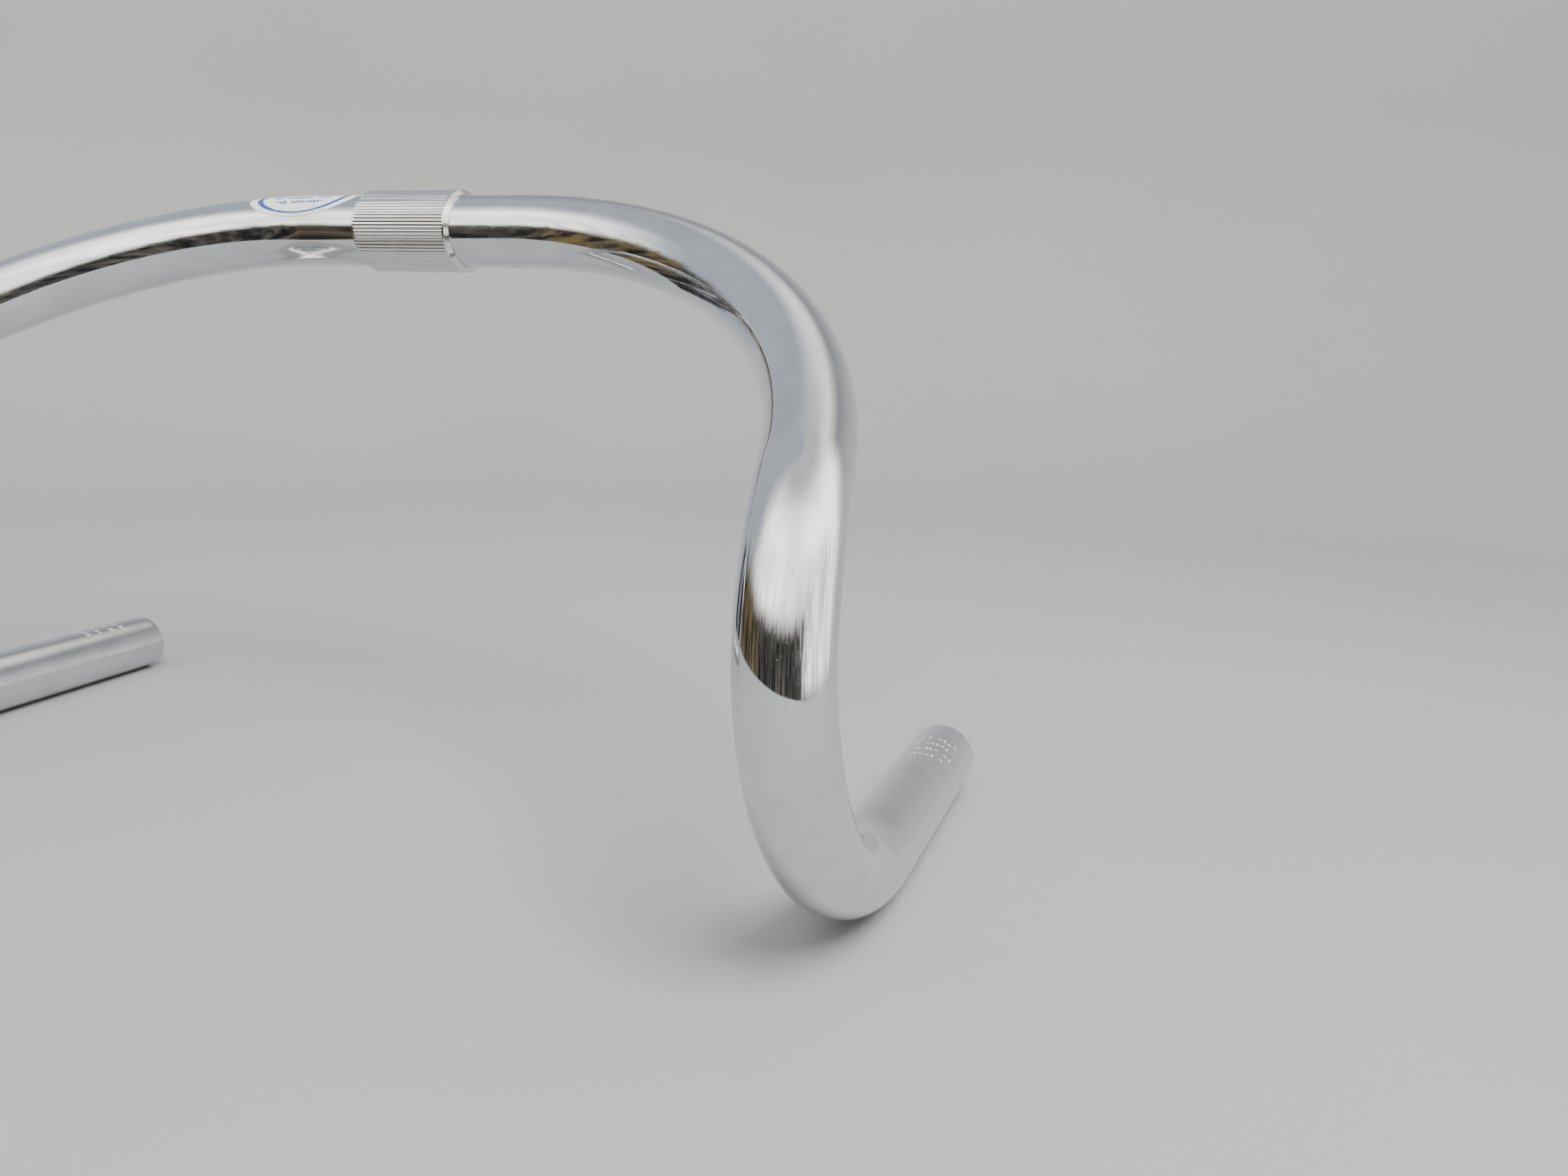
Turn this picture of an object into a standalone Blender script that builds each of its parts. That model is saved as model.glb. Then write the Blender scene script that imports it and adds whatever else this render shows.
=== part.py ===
"""Drop handlebar of a track bicycle: a bent steel tube, its centre sleeve and an oval label.

Lengths are in metres and angles in degrees. The origin is the middle of the stem's clamp zone.
+X runs across the bicycle, -Y is its front and +Z is up. The drops are level, so the bar can
stand on them. The tube is drawn as one half, from the middle to the right end, and mirrored.
"""

import math

import bmesh
import bpy
from mathutils import Matrix, Quaternion, Vector

# The tube and its wall.
TUBE_RADIUS = 0.0111
TUBE_WALL = 0.0016

# One half of the tube's centreline, in the order in which it is bent.
TOP_STRAIGHT = 0.038
TOP_BEND_RADIUS = 0.1215
TOP_BEND_ANGLE = 83.0
TOP_BEND_DIP = 35.0
SHOULDER_RADIUS = 0.0445
SHOULDER_ANGLE = 34.0
SHOULDER_TWIST = -6.5
HOOK_RADIUS = 0.0635
HOOK_TWIST = 14.5
DROP_STRAIGHT = 0.085

# The sleeve that the stem clamps. Its ends are bevelled down to a thin lip.
SLEEVE_LENGTH = 0.036
SLEEVE_WALL = 0.0013
SLEEVE_LIP = 0.0002

# The oval label, wrapped over the top of the tube beside the sleeve. It leans to the front and
# sits a little askew.
LABEL_LENGTH = 0.0395
LABEL_WRAP = 46.0
LABEL_LEAN = 25.0
LABEL_SKEW = 2.2
LABEL_THICKNESS = 0.00025
LABEL_TO_SLEEVE = 0.0036

# Clearance between pieces that touch on the real bar.
FIT_GAP = 0.0003

# Fineness of the curved surfaces.
BEND_STEP = 7.0
TUBE_BEVEL_RESOLUTION = 10
SLEEVE_SIDES = 48
LABEL_BEVEL_RESOLUTION = 22
LABEL_OUTLINE_SIDES = 40

# How far the label's blank and cutter run past the label.
CUTTER_MARGIN = 0.003

UP = Vector((0.0, 0.0, 1.0))
ACROSS = Vector((1.0, 0.0, 0.0))


class Centreline:
    """Walks from the middle of the bar towards its right end, one straight or bend at a time."""

    def __init__(self):
        self.point = Vector((0.0, 0.0, 0.0))
        self.heading = ACROSS.copy()
        self.points = [self.point.copy()]

    def straight(self, length):
        """Goes straight on."""
        self.point = self.point + self.heading * length
        self.points.append(self.point.copy())

    def bend(self, radius, angle, towards):
        """Turns about a centre that lies towards one side."""
        centre = self.point + towards * radius
        axis = self.heading.cross(towards)
        arm = self.point - centre
        steps = math.ceil(math.degrees(angle) / BEND_STEP)
        for step in range(1, steps + 1):
            self.points.append(centre + Quaternion(axis, angle * step / steps) @ arm)
        self.point = self.points[-1].copy()
        self.heading = Quaternion(axis, angle) @ self.heading


def right_half():
    """The centreline from the middle of the bar to its right end."""
    line = Centreline()
    line.straight(TOP_STRAIGHT)

    # The top bend swings forward in a plane that dips towards the front.
    dip = math.radians(TOP_BEND_DIP)
    forward = Vector((0.0, -math.cos(dip), -math.sin(dip)))
    line.bend(TOP_BEND_RADIUS, math.radians(TOP_BEND_ANGLE), forward)

    # The shoulder turns down, about a side axis that leans inwards a little.
    side = (ACROSS - line.heading * line.heading.dot(ACROSS)).normalized()
    side.rotate(Quaternion(line.heading, math.radians(SHOULDER_TWIST)))
    line.bend(SHOULDER_RADIUS, math.radians(SHOULDER_ANGLE), side.cross(line.heading))

    # The hook turns back under the bar, flaring outwards, until the drop is level.
    side.rotate(Quaternion(line.heading, math.radians(HOOK_TWIST)))
    inward = side.cross(line.heading)
    level_angle = math.atan2(-line.heading.z, inward.z)
    line.bend(HOOK_RADIUS, level_angle, inward)
    line.straight(DROP_STRAIGHT)
    return line.points


def mirrored(points):
    """The same points on the other side of the bicycle's middle plane."""
    return [Vector((-point.x, point.y, point.z)) for point in points]


def stretch(points, start, end):
    """The part of a line of points between two distances along it, and its points there."""
    piece = []
    travelled = 0.0
    for a, b in zip(points, points[1:]):
        length = (b - a).length
        for distance in (start, end):
            if travelled <= distance < travelled + length:
                piece.append(a.lerp(b, (distance - travelled) / length))
        travelled += length
        if start < travelled < end:
            piece.append(b.copy())
    return piece


def new_collection(name):
    """A collection in the scene."""
    collection = bpy.data.collections.new(name)
    bpy.context.scene.collection.children.link(collection)
    return collection


def new_material(name, colour, metallic, roughness):
    """A plain Principled material."""
    material = bpy.data.materials.new(name)
    material.use_nodes = True
    shader = material.node_tree.nodes["Principled BSDF"]
    shader.inputs["Base Color"].default_value = (*colour, 1.0)
    shader.inputs["Metallic"].default_value = metallic
    shader.inputs["Roughness"].default_value = roughness
    return material


def new_object(name, data, collection, material=None):
    """An object made from a mesh or a curve, with its material."""
    obj = bpy.data.objects.new(name, data)
    collection.objects.link(obj)
    if material is not None:
        data.materials.append(material)
    return obj


def open_tube(name, points, radius, resolution, collection, material=None):
    """A round tube surface along a line of points, open at both ends."""
    curve = bpy.data.curves.new(name, "CURVE")
    curve.dimensions = "3D"
    curve.bevel_depth = radius
    curve.bevel_resolution = resolution
    curve.render_resolution_u = 0
    curve.use_fill_caps = False
    spline = curve.splines.new("POLY")
    spline.points.add(len(points) - 1)
    for target, point in zip(spline.points, points):
        target.co = (*point, 1.0)
    spline.use_smooth = True
    return new_object(name, curve, collection, material)


def add_wall(obj, thickness, inwards):
    """Gives an open surface a wall, inwards or outwards."""
    wall = obj.modifiers.new("wall", "SOLIDIFY")
    wall.thickness = thickness
    wall.offset = -1.0 if inwards else 1.0


def as_mesh(obj, collection, material):
    """Replaces a curve by the mesh of its evaluated surface."""
    evaluated = obj.evaluated_get(bpy.context.evaluated_depsgraph_get())
    mesh = bpy.data.meshes.new_from_object(evaluated)
    matrix = obj.matrix_world.copy()
    name = obj.name
    bpy.data.objects.remove(obj)
    mesh.materials.clear()
    result = new_object(name, mesh, collection, material)
    result.matrix_world = matrix
    return result


def make_bar_tube(half, collection):
    """The one-piece tube, hollow and open at both ends."""
    chrome = new_material("chrome_plate", (0.80, 0.81, 0.83), 1.0, 0.06)
    points = list(reversed(mirrored(half[1:]))) + half
    tube = open_tube("bar_tube", points, TUBE_RADIUS, TUBE_BEVEL_RESOLUTION, collection, chrome)
    add_wall(tube, TUBE_WALL, inwards=True)


def make_centre_sleeve(collection):
    """The sleeve round the middle of the tube: a turned ring, bevelled at both ends."""
    steel = new_material("satin_steel", (0.66, 0.66, 0.65), 1.0, 0.28)
    bore = TUBE_RADIUS + FIT_GAP
    outside = bore + SLEEVE_WALL
    lip = bore + SLEEVE_LIP
    end = SLEEVE_LENGTH / 2
    shoulder = end - (outside - lip)
    profile = [
        (bore, end),
        (lip, end),
        (outside, shoulder),
        (outside, -shoulder),
        (lip, -end),
        (bore, -end),
    ]
    mesh = bpy.data.meshes.new("centre_sleeve")
    shape = bmesh.new()
    corners = [shape.verts.new((radius, 0.0, height)) for radius, height in profile]
    for corner, following in zip(corners, corners[1:] + corners[:1]):
        shape.edges.new((corner, following))
    shape.to_mesh(mesh)
    shape.free()
    sleeve = new_object("centre_sleeve", mesh, collection, steel)
    turn = sleeve.modifiers.new("turn", "SCREW")
    turn.axis = "Z"
    turn.angle = math.tau
    turn.steps = SLEEVE_SIDES
    turn.render_steps = SLEEVE_SIDES
    turn.use_merge_vertices = True
    turn.merge_threshold = 0.00001
    turn.use_smooth_shade = True
    sleeve.rotation_euler = (0.0, math.radians(90.0), 0.0)


def make_oval_label(half, parts, cutters):
    """The label: a thin skin round the tube, cut to an oval by a prism that stands on the tube."""
    white = new_material("label_film", (0.88, 0.89, 0.90), 0.0, 0.32)
    centre = SLEEVE_LENGTH / 2 + LABEL_TO_SLEEVE + LABEL_LENGTH / 2
    reach = LABEL_LENGTH / 2 + CUTTER_MARGIN
    points = stretch(mirrored(half), centre - reach, centre + reach)
    inside = TUBE_RADIUS + FIT_GAP
    blank = open_tube("oval_label", points, inside, LABEL_BEVEL_RESOLUTION, parts)
    add_wall(blank, LABEL_THICKNESS, inwards=False)
    label = as_mesh(blank, parts, white)

    # The prism stands on the centreline, square to the tube at the label's middle.
    outside = inside + LABEL_THICKNESS
    half_width = outside * math.sin(math.radians(LABEL_WRAP))
    height = outside + CUTTER_MARGIN
    here, ahead = stretch(mirrored(half), centre, centre + CUTTER_MARGIN)[:2]
    heading = (ahead - here).normalized()
    upward = (UP - heading * heading.dot(UP)).normalized()
    upward.rotate(Quaternion(heading, -math.radians(LABEL_LEAN)))
    heading.rotate(Quaternion(upward, -math.radians(LABEL_SKEW)))
    prism = bpy.data.meshes.new("oval_cutter")
    shape = bmesh.new()
    bmesh.ops.create_cone(
        shape,
        cap_ends=True,
        segments=LABEL_OUTLINE_SIDES,
        radius1=1.0,
        radius2=1.0,
        depth=height,
        matrix=Matrix.Translation((0.0, 0.0, height / 2)),
    )
    bmesh.ops.scale(shape, vec=(LABEL_LENGTH / 2, half_width, 1.0), verts=shape.verts)
    shape.to_mesh(prism)
    shape.free()
    cutter = new_object("oval_cutter", prism, cutters)
    axes = Matrix((heading, upward.cross(heading), upward)).transposed()
    cutter.matrix_world = Matrix.Translation(here) @ axes.to_4x4()
    cutter.hide_render = True
    cutter.display_type = "WIRE"

    cut = label.modifiers.new("oval", "BOOLEAN")
    cut.operation = "INTERSECT"
    cut.solver = "EXACT"
    cut.object = cutter


def main():
    """Builds the handlebar in an empty scene."""
    for obj in list(bpy.data.objects):
        bpy.data.objects.remove(obj)
    parts = new_collection("drop_handlebar")
    cutters = new_collection("cutters")
    half = right_half()
    make_bar_tube(half, parts)
    make_centre_sleeve(parts)
    make_oval_label(half, parts, cutters)


main()
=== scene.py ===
"""Looks of the drop handlebar: a chromed bent tube, its knurled sleeve and the oval label.

Lengths are in metres and angles in degrees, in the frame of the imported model: the origin is the
middle of the clamp zone, +X runs across the bicycle, -Y is its front and +Z is up.
"""

import math

import bpy
import numpy as np
from mathutils import Matrix, Quaternion, Vector


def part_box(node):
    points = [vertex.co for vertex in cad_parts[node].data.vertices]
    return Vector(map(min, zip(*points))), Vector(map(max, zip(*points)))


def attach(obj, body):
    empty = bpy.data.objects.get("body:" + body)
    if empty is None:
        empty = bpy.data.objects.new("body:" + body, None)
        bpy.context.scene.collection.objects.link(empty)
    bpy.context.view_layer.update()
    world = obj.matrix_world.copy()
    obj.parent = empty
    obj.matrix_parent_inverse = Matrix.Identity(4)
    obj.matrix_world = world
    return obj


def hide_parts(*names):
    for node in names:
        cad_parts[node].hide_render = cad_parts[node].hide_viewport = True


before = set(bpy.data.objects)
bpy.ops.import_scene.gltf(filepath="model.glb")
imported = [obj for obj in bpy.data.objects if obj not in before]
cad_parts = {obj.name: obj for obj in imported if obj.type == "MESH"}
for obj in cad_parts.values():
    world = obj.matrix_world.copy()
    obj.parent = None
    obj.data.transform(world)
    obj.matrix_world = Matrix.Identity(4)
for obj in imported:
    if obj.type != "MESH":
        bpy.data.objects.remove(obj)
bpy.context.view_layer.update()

# The tube, as the solids have it.
TUBE_RADIUS = 0.0111
TUBE_WALL = 0.0016
TOP_STRAIGHT = 0.038
TOP_BEND_RADIUS = 0.1215
TOP_BEND_ANGLE = 83.0
TOP_BEND_DIP = 35.0
SHOULDER_RADIUS = 0.0445
SHOULDER_ANGLE = 34.0
SHOULDER_TWIST = -6.5
HOOK_RADIUS = 0.0635
HOOK_TWIST = 14.5
DROP_STRAIGHT = 0.085

# How far apart the tube's rings of points are, on its straight and its three bends, and how far
# from its ends the plain rings stop outside and in the bore.
RING_SPACING = (0.004, 0.0026, 0.0013, 0.0018)
EDGE_START = 0.0004
BORE_START = 0.003
BORE_RINGS = 90

# Sleeve, and how far its grooves stay clear of the bevels and run out.
SLEEVE_LENGTH = 0.036
SLEEVE_RADIUS = 0.0127
SLEEVE_BEVEL = 0.0012
SLEEVE_SHOULDER = SLEEVE_LENGTH / 2 - SLEEVE_BEVEL
SLEEVE_FIT = 0.00002
KNURL_GROOVES = 72
KNURL_DEPTH = 0.00016
KNURL_MARGIN = 0.0002
KNURL_RUNOUT = 0.0006
POINTS_PER_GROOVE = 8

# A small nick in the sleeve's left edge: its place and half width round the sleeve, its depth, and
# where it starts along the sleeve.
NICK_TURN = 44.0
NICK_HALF = 6.5
NICK_DEPTH = 0.0006
NICK_START = 0.0158
NICK_SLOPE = 0.0005

# Label: an oval on the left of the sleeve, leaning to the front and a little askew. Its outline,
# printed ring and printed field are given by their half sizes along and round the tube.
LABEL_CENTRE = -0.0413
LABEL_LEAN = 25.0
LABEL_SKEW = -2.2
LABEL_HALF = (0.0197, 0.0094)
LABEL_THICKNESS = 0.00012
LABEL_LIFT = 0.00001
LABEL_COLUMNS = 160
RING_OUTER = (0.0169, 0.0082)
RING_INNER = (0.0149, 0.0076)
PRINT_HALF = (0.0112, 0.0052)
PRINT_SHIFT = 0.0003
PRINT_PITCH = 0.0030
TICK_PITCH = 0.0014
INK = (0.020, 0.095, 0.36, 1.0)

# Stamped marks on the upper side of each drop, in rows counted from the end of the tube, and the
# zone and sector where the mesh is fine enough for them.
MARK_ROWS = 4
MARK_FIRST = 0.0150
MARK_PITCH = 0.0053
MARK_SPAN = (-33.0, 43.0)
MARK_SEED = 7
MARK_DEPTH = 0.00014
MARK_HALF_WIDTH = 0.00022
MARK_HALF_STANDING = 0.0008
MARK_HALF_LYING = 0.0006
MARK_SLOPE = 0.00022
MARK_ZONE = (0.0120, 0.0335)
MARK_RING_SPACING = 0.0002
MARK_SECTOR = 50.0

# Floor: the radius that shows in reflections, the radius that lies flat, and the sweep to its rim.
FLOOR_COLOUR = (0.44, 0.445, 0.45)
FLOOR_CENTRE = 0.10
FLOOR_REFLECTED = 0.46
FLOOR_FLAT = 0.85
FLOOR_SWEEP = 0.50
FLOOR_SWEEP_STEPS = 12
FLOOR_RIM = 1.15
FLOOR_SIDES = 96

# The soft light, above the bar on the right.
KEY_PLACE = (0.50, -0.40, 0.70)
KEY_TARGET = (0.10, -0.05, -0.15)
KEY_SIZE = (0.5, 0.5)
KEY_POWER = 11.0
KEY_COLOUR = (1.0, 0.99, 0.97)

# Surroundings. A turn is counted from straight ahead of the bar, towards its right.
BAND_TURNS = (-117.0, 49.0)
WARM_TURNS = (-88.0, -42.0)
LEFT_TURNS = (-150.0, -62.0)
PALE_WALL = (0.72, 0.725, 0.73, 1.0)

# Camera: place, turn about +Z, tilt below level, roll, and lens for a 36 mm sensor.
CAMERA_PLACE = (0.2198, -0.3063, -0.0425)
CAMERA_TURN = 16.51
CAMERA_DIP = 11.24
CAMERA_ROLL = 2.57
CAMERA_LENS = 23.94

ACROSS = Vector((1.0, 0.0, 0.0))
UP = Vector((0.0, 0.0, 1.0))


# ---------------------------------------------------------------- centreline


class Centreline:
    """The tube's centreline as straights and bends, with a frame that doesn't twist along it."""

    def __init__(self):
        self.pieces = []
        self.length = 0.0
        self.point = Vector((0.0, 0.0, 0.0))
        self.turned = Quaternion((1.0, 0.0, 0.0, 0.0))
        self.heading = ACROSS.copy()

    def add(self, length, radius=None, towards=None):
        """Adds a straight, or a bend about a centre that lies towards one side."""
        axis = self.heading.cross(towards) if radius else None
        start = (self.length, length, self.point, self.heading, self.turned)
        self.pieces.append((*start, radius, axis, towards))
        self.point, self.heading, self.turned = self.along(self.pieces[-1], length)
        self.length += length

    @staticmethod
    def along(piece, distance):
        """Point, heading and turn at a distance into one piece."""
        _, _, point, heading, turned, radius, axis, towards = piece
        if radius is None:
            return point + heading * distance, heading.copy(), turned.copy()
        turn = Quaternion(axis, distance / radius)
        centre = point + towards * radius
        return centre + turn @ (point - centre), turn @ heading, turn @ turned

    def at(self, distance):
        """Point, top direction and front direction at a signed distance from the middle."""
        side = -1.0 if distance < 0.0 else 1.0
        reach = abs(distance)
        for piece in self.pieces:
            if reach <= piece[0] + piece[1]:
                break
        point, _, turned = self.along(piece, reach - piece[0])
        top = turned @ UP
        front = turned @ Vector((0.0, -1.0, 0.0))
        flip = np.array((side, 1.0, 1.0))
        return np.array(point) * flip, np.array(top) * flip, np.array(front) * flip


def bar_centreline():
    """Half of the bar, from its middle to the right end."""
    line = Centreline()
    line.add(TOP_STRAIGHT)
    dip = math.radians(TOP_BEND_DIP)
    forward = Vector((0.0, -math.cos(dip), -math.sin(dip)))
    line.add(TOP_BEND_RADIUS * math.radians(TOP_BEND_ANGLE), TOP_BEND_RADIUS, forward)
    side = (ACROSS - line.heading * line.heading.dot(ACROSS)).normalized()
    side.rotate(Quaternion(line.heading, math.radians(SHOULDER_TWIST)))
    line.add(SHOULDER_RADIUS * math.radians(SHOULDER_ANGLE), SHOULDER_RADIUS, side.cross(line.heading))
    side.rotate(Quaternion(line.heading, math.radians(HOOK_TWIST)))
    inward = side.cross(line.heading)
    level = math.atan2(-line.heading.z, inward.z)
    line.add(HOOK_RADIUS * level, HOOK_RADIUS, inward)
    line.add(DROP_STRAIGHT)
    return line


BAR = bar_centreline()


def upward_turn():
    """Angle round the tube, from its top at the middle, that points straight up on the drops."""
    _, top, front = BAR.at(BAR.length)
    return math.degrees(math.atan2(front[2], top[2])) % 360.0


DROP_UP = upward_turn()


# ---------------------------------------------------------------- mesh helpers


def grid_faces(rows, columns, close_rows, close_columns):
    """Quads of a grid of points, closed in either direction if asked."""
    row_count = rows if close_rows else rows - 1
    column_count = columns if close_columns else columns - 1
    row = np.arange(row_count).repeat(column_count)
    column = np.tile(np.arange(column_count), row_count)
    next_row = (row + 1) % rows
    next_column = (column + 1) % columns
    return np.stack(
        [
            row * columns + column,
            next_row * columns + column,
            next_row * columns + next_column,
            row * columns + next_column,
        ],
        axis=1,
    )


def grid_uvs(lengthwise, around):
    """UVs of a grid that is closed both ways. Each list ends with the value after its last gap."""
    rows = len(lengthwise) - 1
    columns = len(around) - 1
    row = np.arange(rows).repeat(columns)
    column = np.tile(np.arange(columns), rows)
    return np.stack(
        [
            np.stack([lengthwise[row], around[column]], 1),
            np.stack([lengthwise[row + 1], around[column]], 1),
            np.stack([lengthwise[row + 1], around[column + 1]], 1),
            np.stack([lengthwise[row], around[column + 1]], 1),
        ],
        axis=1,
    )


def mesh_object(name, points, faces, uvs):
    """A smooth mesh object. uvs holds one pair for each corner of each face."""
    mesh = bpy.data.meshes.new(name)
    mesh.from_pydata(points.reshape(-1, 3).tolist(), [], faces.tolist())
    layer = mesh.uv_layers.new(name="UVMap")
    layer.data.foreach_set("uv", np.asarray(uvs, np.float32).ravel())
    mesh.shade_smooth()
    mesh.validate()
    obj = bpy.data.objects.new(name, mesh)
    bpy.context.scene.collection.objects.link(obj)
    return obj


def surface_point(distance, angle, radius):
    """A point at a radius and an angle from the tube's top towards its front."""
    centre, top, front = BAR.at(distance)
    return centre + radius * (math.cos(angle) * top + math.sin(angle) * front)


# ---------------------------------------------------------------- shader helpers


class Shader:
    """A node tree and short ways to add nodes to it."""

    def __init__(self, owner, surface):
        owner.use_nodes = True
        self.owner = owner
        self.tree = owner.node_tree
        self.surface = self.tree.nodes[surface]

    def node(self, kind, **settings):
        """A node with its properties set."""
        node = self.tree.nodes.new(kind)
        for key, value in settings.items():
            setattr(node, key, value)
        return node

    def link(self, source, target):
        """Joins two sockets, or sets a constant."""
        if isinstance(source, (int, float, tuple)):
            target.default_value = source
        else:
            self.tree.links.new(source, target)

    def maths(self, operation, *values, clamp=False):
        """A Math node's output."""
        node = self.node("ShaderNodeMath", operation=operation, use_clamp=clamp)
        for socket, value in zip(node.inputs, values):
            self.link(value, socket)
        return node.outputs[0]

    def coordinates(self, source, scale):
        """Object or UV coordinates, scaled."""
        mapping = self.node("ShaderNodeMapping")
        mapping.inputs["Scale"].default_value = scale
        self.link(self.node("ShaderNodeTexCoord").outputs[source], mapping.inputs["Vector"])
        return mapping.outputs[0]

    def noise(self, vector, scale, detail=3.0, roughness=0.5):
        """Noise between 0 and 1."""
        node = self.node("ShaderNodeTexNoise")
        self.link(vector, node.inputs["Vector"])
        node.inputs["Scale"].default_value = scale
        node.inputs["Detail"].default_value = detail
        node.inputs["Roughness"].default_value = roughness
        return node.outputs["Fac"]

    def remap(self, value, low, high, to_low=0.0, to_high=1.0):
        """Maps one range smoothly to another, clamped."""
        node = self.node("ShaderNodeMapRange", interpolation_type="SMOOTHSTEP")
        for socket, number in zip(node.inputs[:5], (value, low, high, to_low, to_high)):
            self.link(number, socket)
        return node.outputs[0]

    def mix(self, factor, first, second):
        """A colour between two colours."""
        node = self.node("ShaderNodeMix", data_type="RGBA")
        self.link(factor, node.inputs["Factor"])
        self.link(first, node.inputs[6])
        self.link(second, node.inputs[7])
        return node.outputs[2]

    def bump(self, height, distance, normal=None):
        """A normal bent by a height field, whose full range is distance metres."""
        node = self.node("ShaderNodeBump")
        node.inputs["Distance"].default_value = distance
        self.link(height, node.inputs["Height"])
        if normal is not None:
            self.link(normal, node.inputs["Normal"])
        return node.outputs[0]

    def scratches(self, vector, scale, stretch, angle, width):
        """Thin straight lines: 1 on a scratch and 0 off it."""
        mapping = self.node("ShaderNodeMapping")
        mapping.inputs["Rotation"].default_value = (0.0, 0.0, math.radians(angle))
        mapping.inputs["Scale"].default_value = (scale, scale * stretch, scale)
        self.link(vector, mapping.inputs["Vector"])
        noise = self.noise(mapping.outputs[0], 1.0, 2.0)
        distance = self.maths("ABSOLUTE", self.maths("SUBTRACT", noise, 0.5))
        return self.remap(distance, 0.0, width, 1.0, 0.0)


def new_shader(name):
    """The shader of a new Principled material."""
    return Shader(bpy.data.materials.new(name), "Principled BSDF")


def chrome_material():
    """Bright chrome plate with faint draw lines, hairline scratches, haze and small specks."""
    shader = new_shader("chrome_plate_look")
    place = shader.coordinates("Object", (1.0, 1.0, 1.0))
    along = shader.coordinates("UV", (1.0, 1.0, 1.0))
    haze = shader.remap(shader.noise(place, 34.0, 5.0, 0.6), 0.44, 0.68)
    cloud = shader.remap(shader.noise(place, 110.0, 4.0), 0.40, 0.66)
    smear = shader.noise(shader.coordinates("UV", (35.0, 420.0, 1.0)), 1.0, 5.0, 0.62)
    smear = shader.maths("MULTIPLY", shader.remap(smear, 0.46, 0.66), haze)

    hairlines = shader.scratches(along, 60.0, 22.0, 4.0, 0.006)
    crossing = shader.scratches(along, 90.0, 12.0, 68.0, 0.004)
    slanted = shader.scratches(along, 75.0, 14.0, -37.0, 0.004)
    worn = shader.remap(shader.noise(place, 38.0, 2.0), 0.46, 0.60)
    lines = shader.maths("MAXIMUM", hairlines, shader.maths("MAXIMUM", crossing, slanted))
    lines = shader.maths("MULTIPLY", lines, worn)
    specks = shader.remap(shader.noise(place, 900.0, 1.0), 0.76, 0.80)
    stamped = shader.node("ShaderNodeAttribute", attribute_name="stamped").outputs["Fac"]

    rough = shader.maths("ADD", 0.035, shader.maths("MULTIPLY", haze, 0.035))
    rough = shader.maths("ADD", rough, shader.maths("MULTIPLY", cloud, 0.015))
    rough = shader.maths("ADD", rough, shader.maths("MULTIPLY", smear, 0.11))
    rough = shader.maths("ADD", rough, shader.maths("MULTIPLY", lines, 0.18))
    rough = shader.maths("ADD", rough, shader.maths("MULTIPLY", specks, 0.25))
    rough = shader.maths("ADD", rough, shader.maths("MULTIPLY", stamped, 0.40), clamp=True)
    shader.link(rough, shader.surface.inputs["Roughness"])

    tint = shader.mix(cloud, (0.69, 0.70, 0.715, 1.0), (0.64, 0.65, 0.665, 1.0))
    tint = shader.mix(shader.maths("MULTIPLY", specks, 0.55), tint, (0.34, 0.31, 0.28, 1.0))
    # Painted glint: the stamped marks are coloured near-white.
    tint = shader.mix(shader.maths("MULTIPLY", stamped, 0.7), tint, (0.92, 0.93, 0.94, 1.0))
    shader.link(tint, shader.surface.inputs["Base Color"])
    # The stamped marks are frosted, so rougher; their near-white colour, made less metallic, is a
    # painted glint that shows bright where the plate mirrors its surroundings.
    painted_glint_metallic = shader.remap(stamped, 0.1, 0.9, 1.0, 0.25)
    shader.link(painted_glint_metallic, shader.surface.inputs["Metallic"])

    draw_lines = shader.noise(shader.coordinates("UV", (6.0, 900.0, 1.0)), 1.0, 3.0)
    ripple = shader.noise(shader.coordinates("UV", (150.0, 26.0, 1.0)), 1.0, 2.0)
    swell = shader.noise(place, 30.0, 1.0)
    normal = shader.bump(draw_lines, 0.0000012)
    normal = shader.bump(ripple, 0.0000140, normal)
    normal = shader.bump(swell, 0.0000500, normal)
    normal = shader.bump(shader.maths("SUBTRACT", 1.0, lines), 0.0000020, normal)
    shader.link(normal, shader.surface.inputs["Normal"])
    return shader.owner


def cut_end_material():
    """The sawn end faces and the unplated bore: dull steel with a brown bloom."""
    shader = new_shader("bare_steel_look")
    place = shader.coordinates("Object", (1.0, 1.0, 1.0))
    bloom = shader.remap(shader.noise(place, 260.0, 5.0, 0.65), 0.42, 0.68)
    grain = shader.noise(place, 2400.0, 3.0)
    colour = shader.mix(bloom, (0.33, 0.32, 0.31, 1.0), (0.17, 0.105, 0.06, 1.0))
    shader.link(colour, shader.surface.inputs["Base Color"])
    shader.link(shader.remap(bloom, 0.0, 1.0, 1.0, 0.35), shader.surface.inputs["Metallic"])
    rough = shader.remap(bloom, 0.0, 1.0, 0.38, 0.75)
    rough = shader.maths("ADD", rough, shader.maths("MULTIPLY", grain, 0.1))
    shader.link(rough, shader.surface.inputs["Roughness"])
    shader.link(shader.bump(grain, 0.00002), shader.surface.inputs["Normal"])
    return shader.owner


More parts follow.
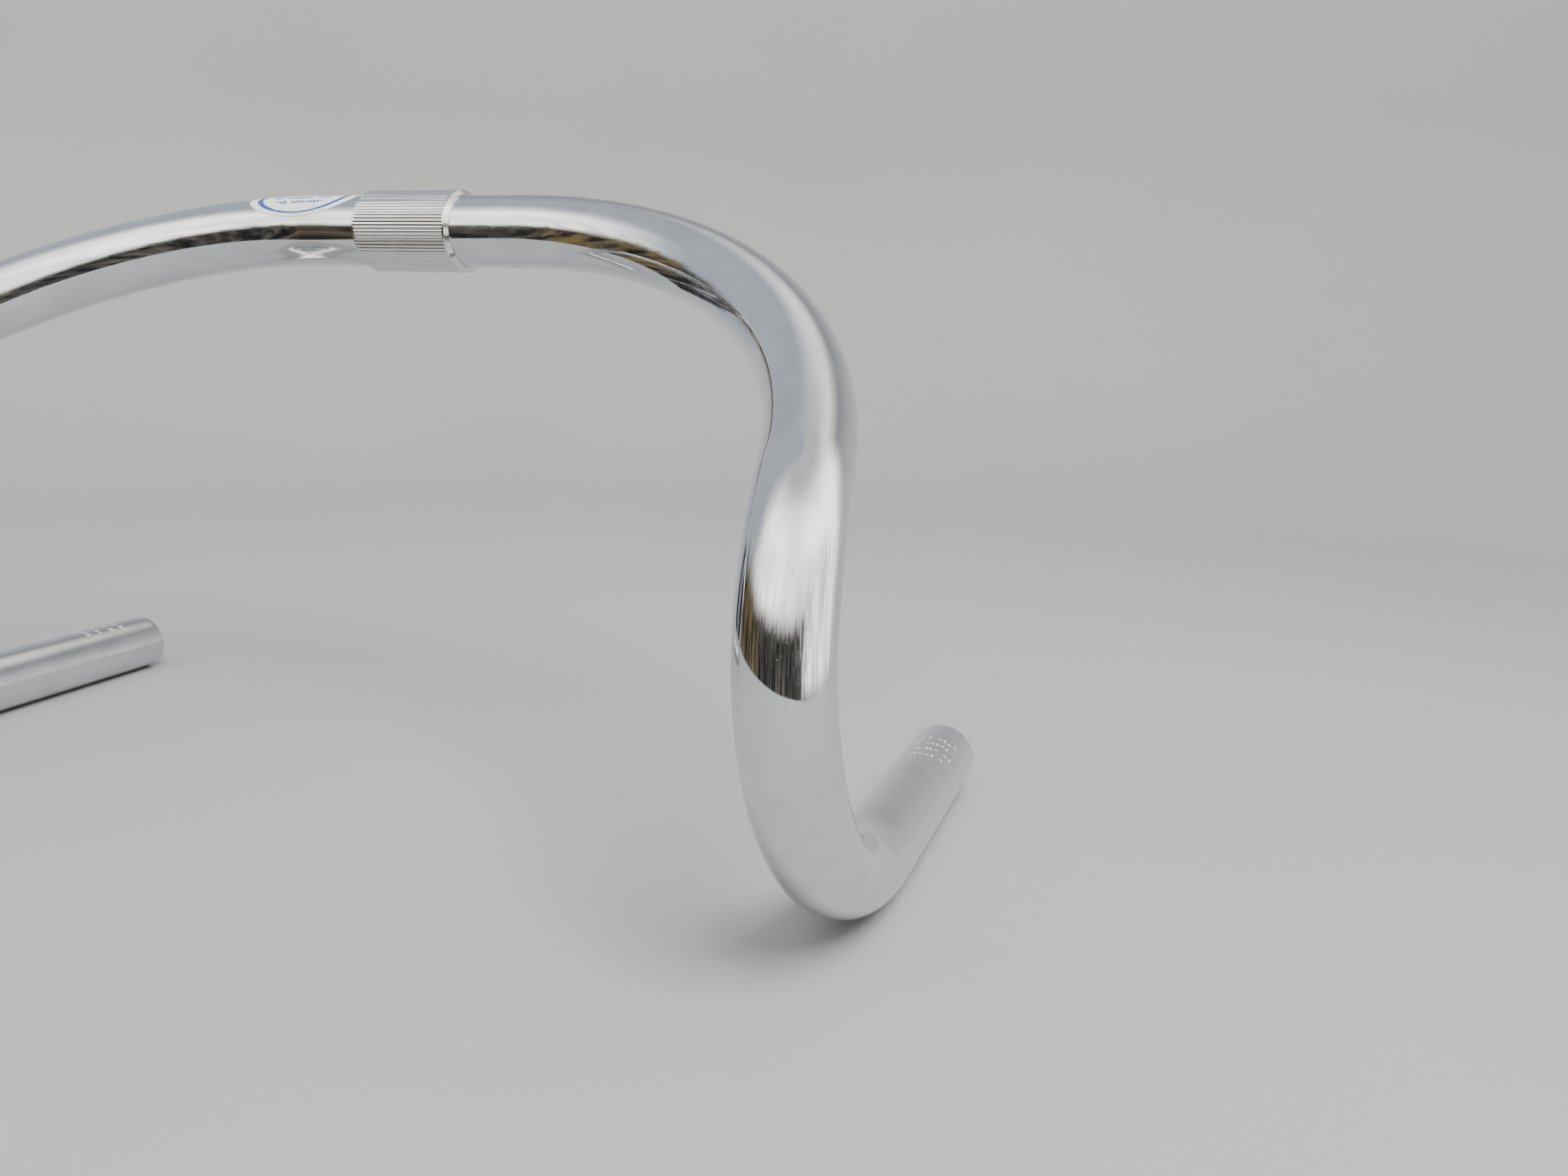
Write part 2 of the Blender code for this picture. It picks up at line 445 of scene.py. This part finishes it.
def sleeve_material():
    """Satin plated steel, coloured darker in the knurl's grooves, patchily, than on its crests."""
    shader = new_shader("satin_steel_look")
    place = shader.coordinates("Object", (1.0, 1.0, 1.0))
    wave = shader.node("ShaderNodeSeparateXYZ")
    shader.link(shader.coordinates("UV", (1.0, 1.0, 1.0)), wave.inputs[0])
    turn = shader.maths("MULTIPLY", wave.outputs["Y"], KNURL_GROOVES * math.tau)
    groove = shader.remap(shader.maths("COSINE", turn), 0.1, 1.0)
    from_middle = shader.maths("ABSOLUTE", wave.outputs["X"])
    on_knurl = shader.remap(from_middle, SLEEVE_SHOULDER - 0.0004, SLEEVE_SHOULDER, 1.0, 0.0)
    groove = shader.maths("MULTIPLY", groove, on_knurl)

    blotch = shader.noise(place, 160.0, 4.0)
    grain = shader.noise(shader.coordinates("Object", (40.0, 900.0, 900.0)), 1.0, 4.0, 0.6)
    pits = shader.remap(shader.noise(place, 1500.0, 1.0), 0.72, 0.78)
    # Darker colour in the knurl's grooves, patchily, and at small pits.
    groove_and_pit_darkening = shader.maths("MULTIPLY", groove, shader.remap(blotch, 0.35, 0.65, 0.15, 0.50))
    groove_and_pit_darkening = shader.maths("MAXIMUM", groove_and_pit_darkening, shader.maths("MULTIPLY", pits, 0.5))
    worn = shader.remap(grain, 0.3, 0.7)
    metal = shader.mix(worn, (0.76, 0.76, 0.755, 1.0), (0.69, 0.69, 0.68, 1.0))
    shader.link(shader.mix(groove_and_pit_darkening, metal, (0.33, 0.32, 0.30, 1.0)), shader.surface.inputs["Base Color"])
    shader.surface.inputs["Metallic"].default_value = 1.0
    satin = shader.remap(grain, 0.25, 0.75, 0.17, 0.25)
    satin = shader.maths("ADD", satin, shader.maths("MULTIPLY", groove_and_pit_darkening, 0.18))
    polish = shader.maths("MULTIPLY", shader.maths("SUBTRACT", 1.0, on_knurl), -0.14)
    shader.link(shader.maths("ADD", satin, polish, clamp=True), shader.surface.inputs["Roughness"])
    shader.link(shader.bump(grain, 0.0000035), shader.surface.inputs["Normal"])
    return shader.owner


def oval(shader, across, up, half):
    """Distance from the middle of an oval, 1 on its outline."""
    first = shader.maths("POWER", shader.maths("DIVIDE", across, half[0]), 2.0)
    second = shader.maths("POWER", shader.maths("DIVIDE", up, half[1]), 2.0)
    return shader.maths("SQRT", shader.maths("ADD", first, second))


def label_material():
    """White film with a printed blue ring and three rows of plain ticks in the same blue."""
    shader = new_shader("label_film_look")
    split = shader.node("ShaderNodeSeparateXYZ")
    shader.link(shader.coordinates("UV", (1.0, 1.0, 1.0)), split.inputs[0])
    across = split.outputs["X"]
    up = split.outputs["Y"]
    place = shader.coordinates("Object", (1.0, 1.0, 1.0))

    outside = shader.remap(oval(shader, across, up, RING_OUTER), 0.997, 1.006, 1.0, 0.0)
    inside = shader.remap(oval(shader, across, up, RING_INNER), 0.994, 1.003)
    ring = shader.maths("MULTIPLY", outside, inside)

    # Rows of upright ticks of uneven height, with gaps, in place of lettering.
    row = shader.maths("DIVIDE", shader.maths("SUBTRACT", up, PRINT_SHIFT), PRINT_PITCH)
    row_number = shader.maths("ROUND", row)
    in_row = shader.maths("ABSOLUTE", shader.maths("SUBTRACT", row, row_number))
    tick = shader.maths("DIVIDE", across, TICK_PITCH)
    tick_number = shader.maths("ROUND", tick)
    in_tick = shader.maths("ABSOLUTE", shader.maths("SUBTRACT", tick, tick_number))
    chance = shader.node("ShaderNodeTexWhiteNoise", noise_dimensions="1D")
    seed = shader.maths("ADD", tick_number, shader.maths("MULTIPLY", row_number, 57.0))
    shader.link(shader.maths("ADD", seed, 0.5), chance.inputs["W"])
    kept = shader.remap(chance.outputs["Value"], 0.12, 0.16)
    tall = shader.maths("ADD", 0.18, shader.maths("MULTIPLY", chance.outputs["Value"], 0.13))
    beyond = shader.maths("SUBTRACT", in_row, tall)
    tick_ink = shader.maths("MULTIPLY", shader.remap(in_tick, 0.33, 0.39, 1.0, 0.0), kept)
    tick_ink = shader.maths("MULTIPLY", tick_ink, shader.remap(beyond, -0.02, 0.02, 1.0, 0.0))
    field = shader.remap(oval(shader, across, up, PRINT_HALF), 0.97, 1.0, 1.0, 0.0)
    ticks = shader.maths("MULTIPLY", shader.maths("MULTIPLY", tick_ink, field), 0.95)
    ink = shader.maths("MAXIMUM", ring, ticks)

    aged = shader.remap(shader.noise(place, 180.0, 4.0), 0.45, 0.75)
    film = shader.mix(aged, (0.93, 0.94, 0.95, 1.0), (0.88, 0.88, 0.86, 1.0))
    worn = shader.remap(shader.noise(place, 1300.0, 3.0), 0.62, 0.70)
    left_on = shader.maths("SUBTRACT", 1.0, shader.maths("MULTIPLY", worn, 0.45))
    ink = shader.maths("MULTIPLY", ink, left_on)
    shader.link(shader.mix(ink, film, INK), shader.surface.inputs["Base Color"])
    grain = shader.noise(place, 2600.0, 2.0)
    rough = shader.remap(aged, 0.0, 1.0, 0.24, 0.36)
    rough = shader.maths("ADD", rough, shader.maths("MULTIPLY", grain, 0.06))
    shader.link(rough, shader.surface.inputs["Roughness"])
    shader.surface.inputs["Specular IOR Level"].default_value = 0.45
    shader.link(shader.bump(grain, 0.000002), shader.surface.inputs["Normal"])
    return shader.owner


# ---------------------------------------------------------------- tube


def column_angles():
    """Angles round the tube: fine on the side that carries the stamped marks, coarser elsewhere."""
    fine = np.arange(DROP_UP - MARK_SECTOR, DROP_UP + MARK_SECTOR + 0.01, 1.0)
    coarse = np.linspace(DROP_UP + MARK_SECTOR, DROP_UP + 360.0 - MARK_SECTOR, 71)[1:-1]
    return np.radians(np.concatenate([fine, coarse]))


def half_distances():
    """Distances from the middle to just short of the right end, closer where the tube bends more."""
    total = BAR.length
    steps = []
    for spacing, piece in zip(RING_SPACING, BAR.pieces):
        count = math.ceil(piece[1] / spacing)
        steps.append(piece[0] + piece[1] * np.arange(count) / count)
    drop = BAR.pieces[-1][0]
    near, far = MARK_ZONE
    steps.append(np.linspace(drop, total - far, 15)[:-1])
    rings = round((far - near) / MARK_RING_SPACING)
    steps.append(np.linspace(total - far, total - near, rings)[:-1])
    steps.append(np.linspace(total - near, total - EDGE_START, 6))
    return np.concatenate(steps)


def mark_strokes():
    """Rows of single plain strokes round each drop, each clear of the next.

    Each is its distance from the tube's end, its angle from the drop's upper side, and its half
    sizes along and round the tube.
    """
    chance = np.random.default_rng(MARK_SEED)
    strokes = []
    for row in range(MARK_ROWS):
        distance = MARK_FIRST + row * MARK_PITCH
        angle = MARK_SPAN[0] + 3.0 * row
        while angle < MARK_SPAN[1]:
            standing = chance.random() < 0.55
            half = (MARK_HALF_WIDTH, MARK_HALF_LYING)
            if standing:
                half = (MARK_HALF_STANDING, MARK_HALF_WIDTH)
            centre = angle + math.degrees(half[1] / TUBE_RADIUS)
            shift = 0.0 if standing else chance.uniform(-0.0007, 0.0007)
            strokes.append((distance + shift, centre, half))
            gap = chance.uniform(0.0008, 0.0012) if chance.random() < 0.8 else 0.0024
            angle = centre + math.degrees((half[1] + gap) / TUBE_RADIUS)
    return strokes


def mark_depth(from_end, around):
    """How deep the stamped marks press the surface in, at grid points near one end."""
    depth = np.zeros(np.broadcast(from_end, around).shape)
    for distance, centre, half in mark_strokes():
        arc = (around - math.radians(centre)) * TUBE_RADIUS
        beyond_along = np.maximum(np.abs(from_end - distance) - half[0], 0.0)
        beyond_round = np.maximum(np.abs(arc) - half[1], 0.0)
        beyond = np.hypot(beyond_along, beyond_round) / MARK_SLOPE
        depth = np.maximum(depth, MARK_DEPTH * np.clip(1.0 - beyond, 0.0, 1.0))
    return depth


def make_tube(plate, bare):
    """The tube as one closed skin: outer wall, right end, bore and left end."""
    angles = column_angles()
    half = half_distances()
    total = BAR.length
    outer = np.concatenate([-half[:0:-1], half])
    bore = TUBE_RADIUS - TUBE_WALL
    # The rounded edges of each end: distance back from the end, and change of radius.
    lip = [(0.00025, -0.00002), (0.0001, -0.0001), (0.0, -0.00028)]
    inner_lip = [(0.0, 0.0002), (0.0002, 0.0)]
    inner = np.linspace(total - BORE_START, BORE_START - total, BORE_RINGS)
    rings = [(-(total - back), TUBE_RADIUS + drop) for back, drop in reversed(lip)]
    rings += [(distance, TUBE_RADIUS) for distance in outer]
    rings += [(total - back, TUBE_RADIUS + drop) for back, drop in lip]
    plated = len(rings)
    rings += [(total - back, bore + gap) for back, gap in inner_lip]
    rings += [(distance, bore) for distance in inner]
    rings += [(-(total - back), bore + gap) for back, gap in reversed(inner_lip)]

    distances = np.array([ring[0] for ring in rings])
    radii = np.array([ring[1] for ring in rings])
    places = [BAR.at(distance) for distance in distances]
    centres = np.array([place[0] for place in places])[:, None, :]
    tops = np.array([place[1] for place in places])[:, None, :]
    fronts = np.array([place[2] for place in places])[:, None, :]
    from_end = (total - np.abs(distances))[:, None]
    depth = mark_depth(from_end, angles[None, :] - math.radians(DROP_UP))
    depth[plated:] = 0.0
    reach = (radii[:, None] - depth)[:, :, None]
    cosines = np.cos(angles)[None, :, None]
    sines = np.sin(angles)[None, :, None]
    points = centres + reach * (tops * cosines + fronts * sines)

    rows = len(rings)
    columns = len(angles)
    faces = grid_faces(rows, columns, True, True)
    around = np.append(angles, angles[0] + math.tau) * TUBE_RADIUS
    uvs = grid_uvs(np.append(distances, distances[0]), around)
    tube = mesh_object("chromed_tube", points, faces[:, ::-1], uvs[:, ::-1])
    stamped = tube.data.attributes.new("stamped", "FLOAT", "POINT")
    stamped.data.foreach_set("value", (depth / MARK_DEPTH).astype(np.float32).ravel())
    tube.data.materials.append(plate)
    tube.data.materials.append(bare)
    row = np.arange(rows).repeat(columns)
    bare_faces = (row >= plated - 1).astype(np.int32)
    tube.data.polygons.foreach_set("material_index", bare_faces)
    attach(tube, "root")
    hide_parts("bar_tube")


# ---------------------------------------------------------------- sleeve


def make_sleeve(material):
    """The sleeve: straight rounded grooves that run out before smooth bevelled ends."""
    columns = KNURL_GROOVES * POINTS_PER_GROOVE
    end = SLEEVE_LENGTH / 2
    shoulder = SLEEVE_SHOULDER
    bore = TUBE_RADIUS + SLEEVE_FIT
    lip = SLEEVE_RADIUS - SLEEVE_BEVEL
    # One end's rings: place along the sleeve, radius, and share of the grooves' full depth.
    rings = [
        (end, bore, 0.0),
        (end, lip - 0.00005, 0.0),
        (end - 0.00005, lip, 0.0),
        (shoulder + 0.00012, SLEEVE_RADIUS - 0.00018, 0.0),
        (shoulder, SLEEVE_RADIUS - 0.00006, 0.0),
        (shoulder - 0.00012, SLEEVE_RADIUS - 0.00001, 0.15),
    ]
    for share in (0.0, 0.25, 0.5, 0.75, 1.0):
        rings.append((shoulder - KNURL_MARGIN - KNURL_RUNOUT * share, SLEEVE_RADIUS, share))
    profile = [(-x, radius, share) for x, radius, share in rings] + rings[::-1]
    angles = np.arange(columns) * math.tau / columns
    groove = (0.5 + 0.5 * np.cos(angles * KNURL_GROOVES)) ** 1.6
    across = np.array([ring[0] for ring in profile])[:, None]
    radius = np.array([ring[1] for ring in profile])[:, None]
    share = np.array([ring[2] for ring in profile])[:, None]
    reach = radius - KNURL_DEPTH * share * groove[None, :]
    from_nick = np.abs(angles - math.radians(NICK_TURN)) / math.radians(NICK_HALF)
    nick_turn = np.clip(1.0 - from_nick, 0.0, 1.0)
    outer_edge = (across < 0.0) * (radius > lip + 0.0001)
    nick_edge = outer_edge * np.clip((-across - NICK_START) / NICK_SLOPE, 0.0, 1.0)
    reach = reach - NICK_DEPTH * nick_edge * nick_turn[None, :] ** 0.5
    points = np.stack(
        [
            np.broadcast_to(across, reach.shape),
            -reach * np.sin(angles)[None, :],
            reach * np.cos(angles)[None, :],
        ],
        axis=2,
    )
    faces = grid_faces(len(profile), columns, True, True)
    uvs = grid_uvs(np.append(across[:, 0], across[0, 0]), np.arange(columns + 1) / columns)
    sleeve = mesh_object("knurled_sleeve", points, faces[:, ::-1], uvs[:, ::-1])
    sleeve.data.set_sharp_from_angle(angle=math.radians(35.0))
    sleeve.data.materials.append(material)
    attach(sleeve, "root")
    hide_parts("centre_sleeve")


# ---------------------------------------------------------------- label


def make_label(material):
    """The film: an oval laid on the tube's surface, with a soft cut edge and a flat underside."""
    # Rings from the middle of the top to the middle of the underside: share of the oval, height.
    rings = [(share, LABEL_THICKNESS) for share in np.linspace(0.0, 0.985, 26)[1:]]
    rings += [(0.994, LABEL_THICKNESS * 0.85), (1.0, LABEL_THICKNESS * 0.4), (1.0, LABEL_LIFT)]
    rings += [(share, LABEL_LIFT) for share in np.linspace(0.0, 0.985, 12)[:0:-1]]
    columns = LABEL_COLUMNS
    skew = math.radians(LABEL_SKEW)
    lean = math.radians(LABEL_LEAN)
    places = []
    flat = []

    def add(share, turn, height):
        """One point of the film, from its place on the flat oval."""
        across = LABEL_HALF[0] * share * math.cos(turn)
        up = LABEL_HALF[1] * share * math.sin(turn)
        along = across * math.cos(skew) - up * math.sin(skew)
        around = across * math.sin(skew) + up * math.cos(skew)
        angle = lean + around / TUBE_RADIUS
        places.append(surface_point(LABEL_CENTRE + along, angle, TUBE_RADIUS + height))
        flat.append((across, up))

    add(0.0, 0.0, LABEL_THICKNESS)
    for share, height in rings:
        for column in range(columns):
            add(share, math.tau * column / columns, height)
    add(0.0, 0.0, LABEL_LIFT)

    faces = []
    last = len(places) - 1
    start = last - columns
    for column in range(columns):
        following = (column + 1) % columns
        faces.append((0, 1 + column, 1 + following))
        faces.append((last, start + following, start + column))
    for ring in range(len(rings) - 1):
        here = 1 + ring * columns
        there = here + columns
        for column in range(columns):
            following = (column + 1) % columns
            faces.append((here + column, there + column, there + following, here + following))
    mesh = bpy.data.meshes.new("oval_label_film")
    mesh.from_pydata([tuple(place) for place in places], [], faces)
    layer = mesh.uv_layers.new(name="UVMap")
    for loop in mesh.loops:
        layer.data[loop.index].uv = flat[loop.vertex_index]
    mesh.shade_smooth()
    mesh.materials.append(material)
    label = bpy.data.objects.new("oval_label_film", mesh)
    bpy.context.scene.collection.objects.link(label)
    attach(label, "root")
    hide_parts("oval_label")


# ---------------------------------------------------------------- studio


def plain_material(name, colour, roughness):
    """A quiet painted surface with a little unevenness."""
    shader = new_shader(name)
    place = shader.coordinates("Object", (1.0, 1.0, 1.0))
    shade = shader.remap(shader.noise(place, 3.0, 3.0), 0.3, 0.7)
    darker = tuple(channel * 0.97 for channel in colour)
    shader.link(shader.mix(shade, (*colour, 1.0), (*darker, 1.0)), shader.surface.inputs["Base Color"])
    shader.surface.inputs["Roughness"].default_value = roughness
    return shader.owner


def stage_ring(name, profile, sides, capped, material):
    """A round surface about an upright axis, from (radius, height) points, capped or not."""
    angles = np.arange(sides) * math.tau / sides
    rings = []
    for radius, height in profile:
        x = FLOOR_CENTRE + radius * np.cos(angles)
        rings.append(np.stack([x, radius * np.sin(angles), np.full(sides, height)], 1))
    faces = grid_faces(len(profile), sides, False, True).tolist()
    if capped:
        faces.append(list(range(sides)))
    mesh = bpy.data.meshes.new(name)
    mesh.from_pydata(np.array(rings).reshape(-1, 3).tolist(), [], faces)
    mesh.shade_smooth()
    mesh.materials.append(material)
    ring = bpy.data.objects.new(name, mesh)
    bpy.context.scene.collection.objects.link(ring)
    return ring


def make_floor(level):
    """A pale floor whose rim sweeps up all round. Only the flat part shows in reflections."""
    paint = plain_material("pale_floor", FLOOR_COLOUR, 0.7)
    flat = [(radius, level) for radius in (0.15, 0.30, FLOOR_REFLECTED)]
    stage_ring("floor", flat, FLOOR_SIDES, True, paint)
    sweep = [(radius, level) for radius in (FLOOR_REFLECTED, 0.65, FLOOR_FLAT)]
    for step in range(1, FLOOR_SWEEP_STEPS + 1):
        turn = math.radians(90.0 * step / FLOOR_SWEEP_STEPS)
        out = FLOOR_FLAT + FLOOR_SWEEP * math.sin(turn)
        sweep.append((out, level + FLOOR_SWEEP * (1.0 - math.cos(turn))))
    sweep.append((FLOOR_FLAT + FLOOR_SWEEP, level + FLOOR_RIM))
    backdrop = stage_ring("backdrop", sweep, FLOOR_SIDES, False, paint)
    backdrop.visible_glossy = False


def area_light(name, place, target, size, power, colour):
    """A soft rectangular light that faces a point."""
    data = bpy.data.lights.new(name, "AREA")
    data.shape = "RECTANGLE"
    data.size, data.size_y = size
    data.energy = power
    data.color = colour
    light = bpy.data.objects.new(name, data)
    bpy.context.scene.collection.objects.link(light)
    light.location = place
    light.rotation_euler = (Vector(target) - Vector(place)).to_track_quat("-Z", "Y").to_euler()
    light.visible_camera = False
    light.visible_glossy = False


def between(shader, value, low, high, soft):
    """1 where a value lies between two limits, with soft edges."""
    above = shader.remap(value, low - soft, low + soft)
    below = shader.remap(value, high - soft, high + soft, 1.0, 0.0)
    return shader.maths("MULTIPLY", above, below)


def make_surroundings():
    """What the chrome mirrors: an open bright front, a dark band at eye level and a pale back."""
    shader = Shader(bpy.data.worlds.new("soft_surroundings"), "Background")
    split = shader.node("ShaderNodeSeparateXYZ")
    direction = shader.node("ShaderNodeTexCoord").outputs["Generated"]
    shader.link(direction, split.inputs[0])
    across, along, up = split.outputs
    height = shader.maths("MULTIPLY", shader.maths("ARCSINE", up), 180.0 / math.pi)
    front = shader.maths("MULTIPLY", along, -1.0)
    turn = shader.maths("MULTIPLY", shader.maths("ARCTAN2", across, front), 180.0 / math.pi)

    # Thin upright streaks, like things that stand beyond the floor. They fade out up the sky.
    streak_place = shader.node("ShaderNodeCombineXYZ")
    shader.link(shader.maths("MULTIPLY", turn, 0.22), streak_place.inputs["X"])
    shader.link(shader.maths("MULTIPLY", height, 0.035), streak_place.inputs["Y"])
    streaks = shader.remap(shader.noise(streak_place.outputs[0], 1.0, 4.0, 0.6), 0.38, 0.72)
    dark = shader.mix(streaks, (0.022, 0.024, 0.026, 1.0), (0.22, 0.20, 0.17, 1.0))
    warm = shader.maths("MULTIPLY", between(shader, turn, *WARM_TURNS, 9.0), streaks)
    dark = shader.mix(warm, dark, (0.30, 0.21, 0.07, 1.0))

    # The sky: brightest low in front and to the right, calmer overhead and on the left.
    bright = shader.remap(height, 36.0, 74.0, 1.0, 0.0)
    sky = shader.mix(bright, (0.85, 0.87, 0.90, 1.0), (3.60, 3.52, 3.36, 1.0))
    tall = shader.remap(streaks, 0.0, 0.45, 1.0, 0.0)
    tall = shader.maths("MULTIPLY", tall, shader.remap(height, 8.0, 34.0, 0.75, 0.0))
    sky = shader.mix(tall, sky, (0.55, 0.54, 0.52, 1.0))
    clouds = shader.remap(shader.noise(direction, 1.7, 1.0), 0.42, 0.62)
    sky = shader.mix(shader.maths("MULTIPLY", clouds, 0.45), sky, (1.25, 1.24, 1.20, 1.0))
    left = between(shader, turn, *LEFT_TURNS, 22.0)
    sky = shader.mix(left, sky, (0.62, 0.67, 0.74, 1.0))
    # The back wall of the studio stands up behind the bar.
    behind = shader.remap(shader.maths("ABSOLUTE", turn), 112.0, 142.0)
    low = shader.remap(height, 38.0, 66.0, 1.0, 0.0)
    back = shader.mix(shader.remap(height, 0.0, 60.0), PALE_WALL, (0.28, 0.30, 0.33, 1.0))
    colour = shader.mix(shader.maths("MULTIPLY", behind, low), sky, back)
    below = shader.remap(height, -12.0, -6.0, 1.0, 0.0)
    colour = shader.mix(below, colour, PALE_WALL)
    # The dark band, with an uneven top and uneven ends.
    band_top = shader.maths("SUBTRACT", height, shader.maths("MULTIPLY", streaks, 7.0))
    band = shader.remap(band_top, 3.0, 15.0, 1.0, 0.0)
    band_turn = shader.maths("ADD", turn, shader.maths("MULTIPLY", streaks, -26.0))
    band = shader.maths("MULTIPLY", band, between(shader, band_turn, *BAND_TURNS, 4.0))
    colour = shader.mix(band, colour, dark)
    shader.link(colour, shader.surface.inputs["Color"])
    shader.surface.inputs["Strength"].default_value = 1.0
    bpy.context.scene.world = shader.owner


def make_studio(level):
    """Floor, surroundings and one soft light."""
    make_floor(level)
    make_surroundings()
    area_light("key_softbox", KEY_PLACE, KEY_TARGET, KEY_SIZE, KEY_POWER, KEY_COLOUR)


def make_camera():
    """The camera, in front of the bar, right of its middle and a little below its top."""
    data = bpy.data.cameras.new("camera")
    data.sensor_width = 36.0
    data.lens = CAMERA_LENS
    data.clip_start = 0.01
    camera = bpy.data.objects.new("camera", data)
    bpy.context.scene.collection.objects.link(camera)
    turn = Matrix.Rotation(math.radians(CAMERA_TURN), 4, "Z")
    dip = Matrix.Rotation(math.radians(90.0 - CAMERA_DIP), 4, "X")
    roll = Matrix.Rotation(math.radians(CAMERA_ROLL), 4, "Z")
    camera.matrix_world = Matrix.Translation(CAMERA_PLACE) @ turn @ dip @ roll
    bpy.context.scene.camera = camera


make_camera()
make_tube(chrome_material(), cut_end_material())
make_sleeve(sleeve_material())
make_label(label_material())
make_studio(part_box("bar_tube")[0].z)
